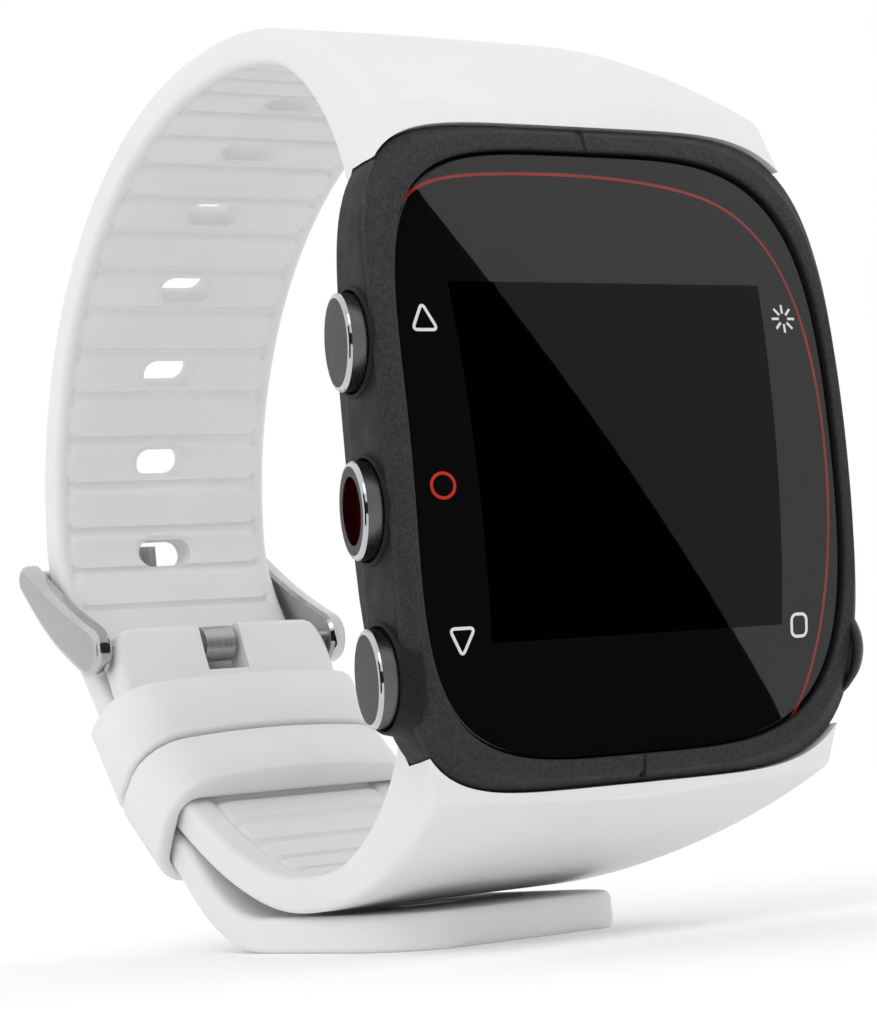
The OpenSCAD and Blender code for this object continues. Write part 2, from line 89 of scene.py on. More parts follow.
BUTTON_R = 3.05
BUTTON_FACE = 18.75
BUTTON_LEAN = 9
FACE_LEAN = 0.13
RIGHT_SINK = 0.5
BUTTON_BACK = 4.15
BUTTON_SEAT = 17.78
STEM_R = 0.7
STEM_END = 14.35
COLLAR_FACE = 17.9
INSERT_R = 2.1
BUTTONS = {"up": (-1, 7.3), "start": (-1, -3.1), "down": (-1, -13.4), "light": (1, 7.3), "back": (1, -13.4)}

LOOP = (33, 0.3)
LOOP_R = 33.6
LAY_R = 29.6
SHORT_R = 26.6
FOOT = 30.9
STRAP_WIDE = 16.6
STRAP_NARROW = 9.5
STRAP_T = 2.5
TAPER = 42
HOLE_PITCH = 13.5
HOLE_FIRST = 81.5
HOLE_HALF = (2.35, 1.1)
GROUND_HOLES = (36, 28.8)
TIP_BACK = 16.4
TIP_ROUND = 8
SLOT_HALF = 1.8
RIDGE_HEIGHT = 0.75
RIDGE_REACH = 22
TONGUE_HOLES = (-14.3, -15.9)

PIVOT = (-17.7, 25.6)
PIVOT_END_R = 2.05
BAR = (-2, 34.6)
BAR_R = 0.75
BAR_END_R = 1.2
ARM_T = 1.4
KEEPER_T = 1.2
SLACK = 0.3


def place(x, back, up):
    """A point of the row frame, in metres."""
    return Vector((x * MM, FRONT + back * MM, MIDDLE + up * MM))


def around(angle, radius):
    """[back, up] at an angle and radius round the strap loop's centre."""
    return (LOOP[0] + radius * cos(radians(angle)), LOOP[1] + radius * sin(radians(angle)))


def smooth_step(low, high, value):
    t = min(max((value - low) / (high - low), 0), 1)
    return t * t * (3 - 2 * t)


def bezier(points, t):
    s = 1 - t
    weights = (s**3, 3 * s * s * t, 3 * s * t * t, t**3)
    return tuple(sum(w * p[axis] for w, p in zip(weights, points)) for axis in (0, 1))


# ---- camera, light and floor -----------------------------------------------------------------


def add_camera():
    """The camera stands low in front of the watch, on the side with three buttons."""
    yaw, pitch, roll = 0.576, -0.08995, 0.09366
    right, high, distance = -12.163, -4.187, 186.309
    turn = Matrix.Rotation(roll, 3, "Z") @ Matrix.Rotation(pitch, 3, "X") @ Matrix.Rotation(yaw, 3, "Y")
    to_row = Matrix(((1, 0, 0), (0, 0, -1), (0, 1, 0)))
    axes = to_row @ turn.transposed()
    spot = axes @ Vector((right, high, distance)) * MM
    data = bpy.data.cameras.new("camera")
    data.sensor_fit = "VERTICAL"
    data.sensor_height = 36
    data.lens = 2947.4 / 1024 * 36
    data.clip_start = 0.01
    camera = bpy.data.objects.new("camera", data)
    bpy.context.scene.collection.objects.link(camera)
    camera.matrix_world = Matrix.Translation(Vector((0, FRONT, MIDDLE)) + spot) @ axes.to_4x4()
    bpy.context.scene.camera = camera
    return camera


def add_world(strength):
    world = bpy.data.worlds.new("studio")
    bpy.context.scene.world = world
    world.use_nodes = True
    background = world.node_tree.nodes["Background"]
    background.inputs["Color"].default_value = (1, 1, 1, 1)
    background.inputs["Strength"].default_value = strength


def add_softbox(name, at, toward, size, power):
    data = bpy.data.lights.new(name, "AREA")
    data.shape = "RECTANGLE"
    data.size, data.size_y = size
    data.energy = power
    lamp = bpy.data.objects.new(name, data)
    bpy.context.scene.collection.objects.link(lamp)
    lamp.visible_camera = False
    lamp.location = at
    lamp.rotation_euler = (Vector(toward) - Vector(at)).to_track_quat("-Z", "Y").to_euler()


def stage_mesh(name, verts, faces, material):
    mesh = bpy.data.meshes.new(name)
    mesh.from_pydata([tuple(v) for v in verts], [], faces)
    mesh.materials.append(material)
    obj = bpy.data.objects.new(name, mesh)
    bpy.context.scene.collection.objects.link(obj)
    return obj


def add_floor():
    size = 3
    corners = [(-size, -size, FLOOR), (size, -size, FLOOR), (size, size, FLOOR), (-size, size, FLOOR)]
    material = bpy.data.materials.new("floor")
    material.use_nodes = True
    shader = material.node_tree.nodes["Principled BSDF"]
    shader.inputs["Base Color"].default_value = (0.93, 0.93, 0.93, 1)
    shader.inputs["Roughness"].default_value = 0.9
    shader.inputs["Specular IOR Level"].default_value = 0
    shader.inputs["Emission Color"].default_value = (1, 1, 1, 1)
    shader.inputs["Emission Strength"].default_value = 0.07
    floor = stage_mesh("floor", corners, [(0, 1, 2, 3)], material)
    floor.visible_glossy = False


def glow(name, strength):
    material = bpy.data.materials.new(name)
    material.use_nodes = True
    tree = material.node_tree
    tree.nodes.clear()
    emission = tree.nodes.new("ShaderNodeEmission")
    emission.inputs["Strength"].default_value = strength
    output = tree.nodes.new("ShaderNodeOutputMaterial")
    tree.links.new(emission.outputs[0], output.inputs["Surface"])
    return material


def add_card(name, verts, faces, strength):
    """A card that only reflections see: it lights nothing and hides nothing."""
    card = stage_mesh(name, verts, faces, glow(name, strength))
    card.visible_camera = False
    card.visible_diffuse = False
    card.visible_shadow = False
    card.visible_transmission = False


def seen_in_glass(camera, x, up):
    """Where the camera's view of a place on the glass goes after it is mirrored there."""
    reach = 0.45
    sag = WINDOW_R - sqrt(WINDOW_R**2 - up**2)
    spot = place(x, sag, up)
    normal = (spot - place(x, WINDOW_R, 0)).normalized()
    ray = (spot - camera.location).normalized()
    return spot + ray.reflect(normal) * reach


def add_glass_cards(camera):
    """A bright and a dark card, whose shared edge is mirrored across the glass as a slant line."""
    start, end = Vector((-13.65, 16.92)), Vector((11.96, -18.58))
    along = end - start
    across = Vector((-along.y, along.x)).normalized()
    steps, rows, reach = 24, 12, 36
    for name, side, strength in (("bright_card", 1, 0.92), ("dark_card", -1, 0.0)):
        verts = []
        for i in range(steps + 1):
            for j in range(rows + 1):
                spot = start + along * (i / steps * 1.6 - 0.3) + across * side * reach * j / rows
                verts.append(seen_in_glass(camera, spot.x, max(min(spot.y, 60), -60)))
        across_one = rows + 1
        faces = [
            (k, k + 1, k + 1 + across_one, k + across_one)
            for i in range(steps)
            for k in range(i * across_one, i * across_one + rows)
        ]
        add_card(name, verts, faces, strength)


def add_side_card():
    """A dark card beside the watch, mirrored in the polished rims of the buttons and the buckle."""
    side, low, high = -0.4, MIDDLE - 0.16, MIDDLE + 0.16
    near, far = FRONT - 0.75, FRONT + 0.2
    corners = [(side, near, low), (side, far, low), (side, far, high), (side, near, high)]
    add_card("side_card", corners, [(0, 1, 2, 3)], 0.02)


# ---- materials -------------------------------------------------------------------------------


def new_material(name):
    material = bpy.data.materials.new(name)
    material.use_nodes = True
    tree = material.node_tree
    return material, tree, tree.nodes["Principled BSDF"]


def noise(tree, size_mm, detail=3, stretch=(1, 1, 1)):
    """Noise in the piece's own coordinates, with features of about the given size."""
    coords = tree.nodes.new("ShaderNodeTexCoord")
    mapping = tree.nodes.new("ShaderNodeMapping")
    mapping.inputs["Scale"].default_value = stretch
    texture = tree.nodes.new("ShaderNodeTexNoise")
    texture.inputs["Scale"].default_value = 1 / (size_mm * MM)
    texture.inputs["Detail"].default_value = detail
    tree.links.new(coords.outputs["Object"], mapping.inputs["Vector"])
    tree.links.new(mapping.outputs["Vector"], texture.inputs["Vector"])
    return texture.outputs["Fac"]


def ramp(tree, source, low, high, between=(0.35, 0.65)):
    node = tree.nodes.new("ShaderNodeMapRange")
    node.inputs["From Min"].default_value = between[0]
    node.inputs["From Max"].default_value = between[1]
    node.inputs["To Min"].default_value = low
    node.inputs["To Max"].default_value = high
    tree.links.new(source, node.inputs["Value"])
    return node.outputs["Result"]


def tint(tree, source, dark, light):
    node = tree.nodes.new("ShaderNodeValToRGB")
    node.color_ramp.elements[0].position = 0.35
    node.color_ramp.elements[0].color = (*dark, 1)
    node.color_ramp.elements[1].position = 0.65
    node.color_ramp.elements[1].color = (*light, 1)
    tree.links.new(source, node.inputs["Fac"])
    return node.outputs["Color"]


def roughen(tree, shader, source, depth_mm, strength=1.0, normal=None):
    bump = tree.nodes.new("ShaderNodeBump")
    bump.inputs["Distance"].default_value = depth_mm * MM
    bump.inputs["Strength"].default_value = strength
    tree.links.new(source, bump.inputs["Height"])
    if normal:
        tree.links.new(normal, bump.inputs["Normal"])
    tree.links.new(bump.outputs["Normal"], shader.inputs["Normal"])
    return bump.outputs["Normal"]


def moulded(name, dark, light, rough, grain_mm, grain_depth, specular=0.5, tone_mm=6):
    """Moulded plastic, rubber or silicone: tone and gloss changes over a fine grain."""
    material, tree, shader = new_material(name)
    tree.links.new(tint(tree, noise(tree, tone_mm), dark, light), shader.inputs["Base Color"])
    tree.links.new(ramp(tree, noise(tree, 1.7), rough - 0.05, rough + 0.05), shader.inputs["Roughness"])
    shader.inputs["Specular IOR Level"].default_value = specular
    roughen(tree, shader, noise(tree, grain_mm, detail=5), grain_depth)
    return material


def brushed(name, dark, light, rough, along=(1, 1, 0.04), depth=0.0004, edge=1.0):
    """Metal with fine lines along one direction. Its edge value dims what it mirrors at a shallow angle."""
    material, tree, shader = new_material(name)
    lines = noise(tree, 0.06, detail=3, stretch=along)
    tree.links.new(tint(tree, lines, dark, light), shader.inputs["Base Color"])
    tree.links.new(ramp(tree, lines, rough - 0.08, rough + 0.08), shader.inputs["Roughness"])
    shader.inputs["Metallic"].default_value = 1
    shader.inputs["Specular Tint"].default_value = (edge, edge, edge, 1)
    roughen(tree, shader, lines, depth)
    return material


def polished(name, dark, light):
    """Smooth bright metal, with only a faint clouding of its gloss."""
    material, tree, shader = new_material(name)
    tree.links.new(tint(tree, noise(tree, 3), dark, light), shader.inputs["Base Color"])
    tree.links.new(ramp(tree, noise(tree, 2), 0.06, 0.1), shader.inputs["Roughness"])
    shader.inputs["Metallic"].default_value = 1
    return material


def silicone(name):
    """White silicone: faint clouding and a dry surface."""
    material, tree, shader = new_material(name)
    clouding = tint(tree, noise(tree, 9), (0.76, 0.76, 0.767), (0.785, 0.785, 0.792))
    tree.links.new(clouding, shader.inputs["Base Color"])
    tree.links.new(ramp(tree, noise(tree, 2.5), 0.5, 0.6), shader.inputs["Roughness"])
    shader.inputs["Specular IOR Level"].default_value = 0.35
    roughen(tree, shader, noise(tree, 0.09, detail=4), 0.004)
    return material


def printed_glass(name, dark, light, specular):
    """Gloss glass over a printed or unlit layer, with a very faint clouding of the print."""
    material, tree, shader = new_material(name)
    tree.links.new(tint(tree, noise(tree, 4), dark, light), shader.inputs["Base Color"])
    tree.links.new(ramp(tree, noise(tree, 11), 0.008, 0.014), shader.inputs["Roughness"])
    shader.inputs["Specular IOR Level"].default_value = specular
    return material


MATERIALS = {
    "case_plastic": moulded("case_plastic", (0.006, 0.006, 0.0065), (0.012, 0.012, 0.0125),
                            0.6, 0.16, 0.03, 0.2, 0.2),
    # The bezel's finish is the case plastic painted lighter, as a painted highlight for the light its
    # front-facing slope catches. It is not a different plastic.
    "case_plastic_painted_lit": moulded("case_plastic_painted_lit", (0.017, 0.017, 0.018), (0.034, 0.034, 0.035),
                             0.6, 0.16, 0.03, 0.25, 0.2),
    "cover_plastic": moulded("cover_plastic", (0.014, 0.014, 0.015), (0.019, 0.019, 0.02),
                             0.48, 0.22, 0.02, 0.4),
    "gasket_rubber": moulded("gasket_rubber", (0.16, 0.02, 0.015), (0.2, 0.03, 0.02), 0.6, 0.1, 0.004),
    "window_glass": printed_glass("window_print", (0.0033, 0.0033, 0.0036), (0.0041, 0.0041, 0.0044), 0.5),
    "display_lit": printed_glass("display_dark", (0.0, 0.0, 0.0), (0.0004, 0.0004, 0.0004), 0.17),
    "seal_rubber": moulded("seal_rubber", (0.006, 0.006, 0.006), (0.01, 0.01, 0.01), 0.65, 0.08, 0.003, 0.2),
    "display_glass": printed_glass("display_glass", (0.012, 0.013, 0.015), (0.018, 0.019, 0.021), 0.5),
    "carrier_plastic": moulded("carrier_plastic", (0.68, 0.68, 0.65), (0.75, 0.75, 0.72), 0.45, 0.3, 0.004),
    "flex_film": moulded("flex_film", (0.4, 0.16, 0.04), (0.48, 0.22, 0.07), 0.3, 0.5, 0.002),
    "board_laminate": moulded("board_laminate", (0.015, 0.1, 0.05), (0.025, 0.14, 0.07), 0.35, 0.4, 0.004),
    "shield_steel": brushed("shield_steel", (0.52, 0.52, 0.53), (0.62, 0.62, 0.63), 0.35, (1, 0.1, 1)),
    "antenna_ceramic": moulded("antenna_ceramic", (0.56, 0.49, 0.33), (0.64, 0.57, 0.4), 0.5, 0.1, 0.003),
    "buzzer_brass": brushed("buzzer_brass", (0.62, 0.44, 0.16), (0.72, 0.54, 0.22), 0.3, (0.1, 1, 1)),
    "battery_foil": moulded("battery_foil", (0.5, 0.52, 0.55), (0.6, 0.62, 0.65), 0.35, 1.2, 0.02),
    "flap_rubber": moulded("flap_rubber", (0.022, 0.022, 0.023), (0.03, 0.03, 0.031), 0.6, 0.14, 0.008, 0.3),
    "strap_silicone": silicone("strap_silicone"),
    "pin_steel": brushed("pin_steel", (0.5, 0.5, 0.51), (0.6, 0.6, 0.61), 0.25, (0.05, 1, 1)),
    "screw_steel": brushed("screw_steel", (0.45, 0.45, 0.46), (0.55, 0.55, 0.56), 0.3),
    "buckle_steel": brushed("buckle_brushed", (0.4, 0.4, 0.41), (0.5, 0.5, 0.51), 0.34, (1, 1, 0.06)),
    "buckle_polish": polished("buckle_polish", (0.5, 0.5, 0.51), (0.56, 0.56, 0.57)),
    "button_steel": brushed("button_brushed", (0.12, 0.12, 0.122), (0.16, 0.16, 0.162),
                            0.32, (1, 0.05, 1), 0.0002, 0.5),
    "button_polish": polished("button_polish", (0.5, 0.5, 0.51), (0.56, 0.56, 0.57)),
    "insert_red": brushed("insert_red", (0.055, 0.009, 0.01), (0.09, 0.014, 0.016),
                          0.35, (1, 0.05, 1), 0.0002, 0.08),
    "print_white": moulded("print_white", (0.62, 0.62, 0.63), (0.72, 0.72, 0.73), 0.08, 0.3, 0.0001),
    "print_red": moulded("print_red", (0.42, 0.018, 0.014), (0.5, 0.03, 0.022), 0.08, 0.3, 0.0001),
    "print_dull_red": moulded("print_dull_red", (0.17, 0.012, 0.012), (0.22, 0.018, 0.018),
                              0.08, 0.3, 0.0001),
}


# ---- mesh helpers ----------------------------------------------------------------------------


def add_piece(name, verts, faces, body, materials, replaces=(), sharp=35, tags=None):
    """A closed mesh in the row frame, riding on a body and taking a record slot's finish."""
    mesh = bpy.data.meshes.new(name)
    mesh.from_pydata([tuple(v) for v in verts], [], faces)
    for material in materials:
        mesh.materials.append(MATERIALS[material])
    if tags:
        mesh.polygons.foreach_set("material_index", tags)
    shape = bmesh.new()
    shape.from_mesh(mesh)
    bmesh.ops.remove_doubles(shape, verts=shape.verts, dist=1e-7)
    bmesh.ops.recalc_face_normals(shape, faces=shape.faces)
    shape.to_mesh(mesh)
    shape.free()
    mesh.shade_smooth()
    mesh.set_sharp_from_angle(angle=radians(sharp))
    obj = bpy.data.objects.new(name, mesh)
    bpy.context.scene.collection.objects.link(obj)
    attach(obj, body)
    if replaces:
        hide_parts(*replaces)
    return obj


def loft(rings, closed=False):
    """Faces between rings of equal length. An open loft gets a face at each end."""
    count = len(rings[0])
    verts = [v for ring in rings for v in ring]
    rows = len(rings) if closed else len(rings) - 1
    faces = [
        (i * count + k, i * count + (k + 1) % count,
         (i + 1) % len(rings) * count + (k + 1) % count, (i + 1) % len(rings) * count + k)
        for i in range(rows)
        for k in range(count)
    ]
    if not closed:
        faces.append(tuple(range(count)))
        faces.append(tuple((len(rings) - 1) * count + k for k in range(count)))
    return verts, faces


def round_square(half, square=SQUARENESS, count=192):
    """Points of the rounded square with the given half sizes, evenly spaced."""
    fine = 2400
    points = []
    for i in range(fine):
        a = tau * i / fine
        x = copysign(abs(cos(a)) ** (2 / square), cos(a)) * half[0]
        up = copysign(abs(sin(a)) ** (2 / square), sin(a)) * half[1]
        points.append((x, up))
    return resample(points + points[:1], count)[:-1]


def resample(points, count):
    """The same line with count equal steps."""
    lengths = [0]
    for a, b in zip(points, points[1:]):
        lengths.append(lengths[-1] + hypot(b[0] - a[0], b[1] - a[1]))
    result = []
    j = 0
    for i in range(count + 1):
        goal = lengths[-1] * i / count
        while j < len(points) - 2 and lengths[j + 1] < goal:
            j += 1
        t = (goal - lengths[j]) / max(lengths[j + 1] - lengths[j], 1e-9)
        a, b = points[j], points[j + 1]
        result.append((a[0] + (b[0] - a[0]) * t, a[1] + (b[1] - a[1]) * t))
    return result


def lathe(profile, to_row, count=72, lean=0.0):
    """Rings of a turned piece. The profile is [radius, distance along the axis].

    A lean slants the outer end, like the sloping face of a button.
    """
    rings = []
    for r, z in profile:
        slant = lean * smooth_step(BUTTON_SEAT + 0.05, BUTTON_SEAT + 0.55, z)
        around_axis = [(r * cos(tau * k / count), r * sin(tau * k / count)) for k in range(count)]
        rings.append([to_row @ Vector((x, y, z + slant * x)) for x, y in around_axis])
    return rings


def fillet(a, corner, b, radius, steps=5):
    """Points that round the corner of a profile."""
    to_a = Vector(a) - Vector(corner)
    to_b = Vector(b) - Vector(corner)
    start = Vector(corner) + to_a.normalized() * min(radius, to_a.length / 2)
    end = Vector(corner) + to_b.normalized() * min(radius, to_b.length / 2)
    curve = (start, start.lerp(corner, 0.55), end.lerp(corner, 0.55), end)
    return [bezier(curve, i / steps) for i in range(steps + 1)]


def rounded(profile, radius):
    """A closed profile with every corner rounded."""
    result = []
    for i, corner in enumerate(profile):
        result += fillet(profile[i - 1], corner, profile[(i + 1) % len(profile)], radius)
    return result


def cutter(name, verts, faces):
    mesh = bpy.data.meshes.new(name)
    mesh.from_pydata([tuple(v) for v in verts], [], faces)
    shape = bmesh.new()
    shape.from_mesh(mesh)
    bmesh.ops.recalc_face_normals(shape, faces=shape.faces)
    shape.to_mesh(mesh)
    shape.free()
    obj = bpy.data.objects.new(name, mesh)
    bpy.context.scene.collection.objects.link(obj)
    return obj


def carve(obj, cutters):
    """Cuts the cutters out of a piece's mesh and removes them."""
    for tool in cutters:
        modifier = obj.modifiers.new("cut", "BOOLEAN")
        modifier.object = tool
        modifier.solver = "MANIFOLD"
    graph = bpy.context.evaluated_depsgraph_get()
    result = bpy.data.meshes.new_from_object(obj.evaluated_get(graph))
    obj.modifiers.clear()
    obj.data = result
    for tool in cutters:
        bpy.data.objects.remove(tool)


# ---- case and window -------------------------------------------------------------------------


# A depth that is always in front of the bezel, for rings that follow its curve.
AHEAD = -9


def bezel_curve(up):
    """Distance of the bezel's front behind the window's middle, at a height."""
    return WINDOW_R - sqrt((WINDOW_R + BEZEL_LIP) ** 2 - up**2)


def case_ring(half, back, lift=0.0, square=SQUARENESS):
    """One ring of the case: at a depth, but never nearer than lift behind the bezel's curve."""
    return [place(x, max(back, bezel_curve(up) + lift), up) for x, up in round_square(half, square)]


def wall_ring(by, back, lift, square=SIDE_SQUARENESS):
    """One ring of the case's outside, which narrows towards the wrist."""
    ring = []
    for x, up in round_square(grown(CASE_HALF, by), square):
        depth = max(back, bezel_curve(up) + lift)
        narrowing = max(0, depth - 0.7) / 5.2
        ring.append(place(x * (1 - 0.05 * narrowing), depth, up * (1 - 0.0142 * narrowing)))
    return ring


def grown(half, by):
    return (half[0] + by, half[1] + by)


def build_case():
    opening = grown(WINDOW_HALF, GAP)
    rings = [
        case_ring(opening, AHEAD, WINDOW_T + BEZEL_LIP + 0.3),
        case_ring(opening, AHEAD, 0.25),
        case_ring(grown(opening, 0.06), AHEAD, 0.08),
        case_ring(grown(opening, 0.2), AHEAD, 0.0),
        wall_ring(-0.72, AHEAD, 0.0, 4.4),
        wall_ring(-0.6, AHEAD, 0.06, 4.5),
        wall_ring(-0.5, AHEAD, 0.2, 4.6),
        wall_ring(-0.12, 0.35, 0.62),
        wall_ring(0, 0.75, 1.0),
        wall_ring(0, 1.3, 1.5),
        wall_ring(0, 5.7, 0),
        wall_ring(-0.14, 6.15, 0),
        case_ring((16.3, 20.4), 7.0, square=5),
        case_ring((14.55, 19.1), CASE_DEPTH - 0.12),
        case_ring((14.4, 19.0), CASE_DEPTH),
        case_ring(ROOM, CASE_DEPTH),
        case_ring(ROOM, STEP_BACK),
        case_ring(CAVITY, STEP_BACK),
        case_ring(CAVITY, AHEAD, WINDOW_T + BEZEL_LIP + 0.3),
    ]
    verts, faces = loft(rings, closed=True)
    # These rows of the front-facing bezel take the lighter copy of the case plastic, a painted highlight
    # against the darker side wall.
    bezel_rows = range(1, 8)
    tags = [1 if i in bezel_rows else 0 for i in range(len(rings)) for _ in rings[0]]
    case = add_piece("case_shell", verts, faces, "watch", ["case_plastic", "case_plastic_painted_lit"],
                     ["case_frame"], 24, tags)
    carve(case, [button_bore(*spot) for spot in BUTTONS.values()])
    case.data.shade_smooth()
    case.data.set_sharp_from_angle(angle=radians(24))
    for key, spot in BUTTONS.items():
        build_collar(key, *spot)
    for end in (1, -1):
        build_seam(end)


def button_frame(side, up):
    """Row-frame matrix of a button: z runs outwards along its axis, in millimetres."""
    lean = radians(BUTTON_LEAN)
    out = Vector((side * cos(lean), sin(lean), 0))
    over = Vector((0, 0, 1))
    cross = over.cross(out)
    origin = place(0, BUTTON_BACK - BUTTON_FACE * sin(lean), up)
    columns = Matrix((cross, over, out)).transposed() * MM
    return Matrix.Translation(origin) @ columns.to_4x4()


def face_lean(side):
    """Slant of a cap's face. The right-hand caps are plain."""
    return FACE_LEAN if side < 0 else 0


def button_bore(side, up):
    radius = BUTTON_R + 0.1
    verts, faces = loft(lathe([(STEM_R + 0.1, 10), (STEM_R + 0.1, 17.2), (radius, 17.2), (radius, 24)],
                              button_frame(side, up), 64))
    return cutter("bore", verts, faces)


def build_collar(key, side, up):
    """Raised round rim that the case has about a button."""
    inner, outer = BUTTON_R + 0.1, BUTTON_R + 0.5
    rim = COLLAR_FACE if side < 0 else COLLAR_FACE - RIGHT_SINK
    profile = [(inner, 17.2), (inner, rim), (outer - 0.15, rim), (outer + 0.05, 17.1),
               (outer + 0.25, 16.4), (inner + 0.3, 16.4)]
    rings = lathe(rounded(profile, 0.2), button_frame(side, up), lean=face_lean(side))
    verts, faces = loft(rings, closed=True)
    add_piece(key + "_collar", verts, faces, "watch", ["case_plastic"])


def build_seam(end):
    """Short dark seam across the middle of the bezel, in line with the strap's ridge."""
    rings = []
    for i in range(9):
        t = i / 8
        up = end * (WINDOW_HALF[1] + 0.15 + t * (CASE_HALF[1] - WINDOW_HALF[1] - 0.5))
        back = bezel_curve(up)
        half = 0.2 + 0.08 * t
        lift = 0.03 * sin(pi * min(t + 0.12, 0.95))
        crest = (half * 0.4, back - lift)
        section = [(-half, back + 0.2), (-crest[0], crest[1]), crest, (half, back + 0.2)]
        rings.append([place(x, depth, up) for x, depth in section])
    verts, faces = loft(rings)
    name = "bezel_seam_" + ("top" if end > 0 else "bottom")
    add_piece(name, verts, faces, "watch", ["seal_rubber"])


def on_glass(x, up, proud=0.0):
    return place(x, WINDOW_R - sqrt((WINDOW_R + proud) ** 2 - up**2), up)


def build_window():
    """Curved glass with a rounded edge, printed black behind, and the dark display in it."""
    front = [(1.0, 0.16), (0.9965, 0.06), (0.992, 0.0), (0.988, 0.0)]
    front += [(1 - 0.07 * k, 0.0) for k in range(1, 14)]
    rings = []
    for scale, drop in [(1.0, WINDOW_T)] + front:
        half = (WINDOW_HALF[0] * scale, WINDOW_HALF[1] * scale)
        rings.append([on_glass(x, up, -drop) for x, up in round_square(half)])
    verts, faces = loft(rings)
    add_piece("window_glass", verts, faces, "watch", ["window_glass"], ["window"], 40)
    build_inlay("display_area", display_outline(), "display_lit", 0.004)
    for name, strokes, material in printed_marks():
        build_strokes(name, strokes, material)


def display_outline():
    """Corners of the display behind the glass, which is a little wider at its top."""
    return [(-12.25, 10.55), (12.15, 10.55), (11.4, -11.85), (-11.4, -11.85)]


def build_inlay(name, corners, material, proud):
    """Thin curved patch that fills a four-cornered area of the glass."""
    rows = 40
    top_left, top_right, bottom_right, bottom_left = (Vector(c) for c in corners)
    rings = []
    for i in range(rows + 1):
        left = top_left.lerp(bottom_left, i / rows)
        right = top_right.lerp(bottom_right, i / rows)
        rings.append([on_glass(left.x, left.y, proud), on_glass(right.x, right.y, proud),
                      on_glass(right.x, right.y, -0.05), on_glass(left.x, left.y, -0.05)])
    verts, faces = loft(rings)
    add_piece(name, verts, faces, "watch", [material], (), 30)


def build_strokes(name, strokes, material):
    """Printed lines of even width on the glass, each given as its line of points."""
    all_verts, all_faces = [], []
    for line, width, closed in strokes:
        count = len(line)
        rings = []
        for i, point in enumerate(line):
            before = Vector(line[i - 1] if closed or i else point)
            after = Vector(line[(i + 1) % count] if closed or i < count - 1 else point)
            side = (after - before).orthogonal().normalized() * width / 2
            left, right = Vector(point) + side, Vector(point) - side
            rings.append([on_glass(left.x, left.y, 0.012), on_glass(right.x, right.y, 0.012),
                          on_glass(right.x, right.y, -0.02), on_glass(left.x, left.y, -0.02)])
        verts, faces = loft(rings, closed)
        base = len(all_verts)
        all_verts += verts
        all_faces += [tuple(base + k for k in face) for face in faces]
    add_piece(name, all_verts, all_faces, "watch", [material], (), 30)


def printed_marks():
    """Button symbols and the thin border line."""
    stroke = 0.2
    marks = []
    for name, (x, up), way in (("mark_up", (-14.42, 8.3), 1), ("mark_down", (-13.55, -11.7), -1)):
        half, tall = 0.92, 0.85
        corners = [(x - half, up - way * tall), (x, up + way * tall), (x + half, up - way * tall)]
        marks.append((name, [(rounded(corners, 0.35), stroke, True)], "print_white"))
    circle = [(-14.38 + 0.84 * cos(tau * k / 40), -2.17 + 0.76 * sin(tau * k / 40)) for k in range(40)]
    marks.append(("mark_start", [(circle, stroke, True)], "print_red"))
    x, up = 13.8, 8.29
    rays = [
        ([(x + r * cos(tau * k / 8), up + r * sin(tau * k / 8)) for r in (0.36, 0.65, 0.95)], 0.17, False)
        for k in range(8)
    ]
    marks.append(("mark_light", rays, "print_white"))
    x, up = 12.81, -11.96
    corners = [(x - 0.62, up - 0.72), (x - 0.62, up + 0.72), (x + 0.62, up + 0.72), (x + 0.62, up - 0.72)]
    marks.append(("mark_back", [(rounded(corners, 0.4), stroke, True)], "print_white"))
    border = (
        ((-15.6, 13.4), (-14.9, 16.9), (-11.8, 17.5), (-6.75, 17.7)),
        ((-6.75, 17.7), (-1.2, 17.95), (5.2, 17.7), (8.85, 16.55)),
        ((8.85, 16.55), (14.2, 14.9), (15.7, 9.5), (15.85, 1.44)),
        ((15.85, 1.44), (16.0, -8.0), (14.4, -16.2), (11.3, -18.95)),
    )
    line = [bezier(part, k / 24) for part in border for k in range(24)]
    marks.append(("border_line", [(line, 0.22, False)], "print_dull_red"))
    return marks


# ---- buttons ---------------------------------------------------------------------------------


def build_button(key, side, up):
    """Turned cap with a brushed face, a polished bevel and its stem."""
    hollow = key == "start"
    face = BUTTON_FACE if side < 0 else BUTTON_FACE - RIGHT_SINK
    rim = INSERT_R + 0.02
    inner = [(0.01, face - 0.5), (rim, face - 0.5), (rim, face - 0.03)] if hollow else [(0.01, face)]
    profile = inner + [
        (2.74, face),
        (2.79, face - 0.01),
        (2.91, face - 0.05),
        (3.0, face - 0.13),
        (BUTTON_R, face - 0.25),
        (BUTTON_R, BUTTON_SEAT + 0.1),
        (BUTTON_R - 0.1, BUTTON_SEAT),
        (STEM_R, BUTTON_SEAT),
        (STEM_R, STEM_END + 0.1),
        (STEM_R - 0.1, STEM_END),
        (0.01, STEM_END),
    ]
    count = 96
    rings = lathe(profile, button_frame(side, up), count, face_lean(side))
    verts, faces = loft(rings)
    flat_rows = len(inner)
    bevel_rows = range(flat_rows, flat_rows + 4)
    tags = [1 if i in bevel_rows else 0 for i in range(len(rings) - 1) for _ in range(count)] + [0, 0]
    add_piece(key + "_cap", verts, faces, key + "_key", ["button_steel", "button_polish"],
              [key + "_button"], 20, tags)


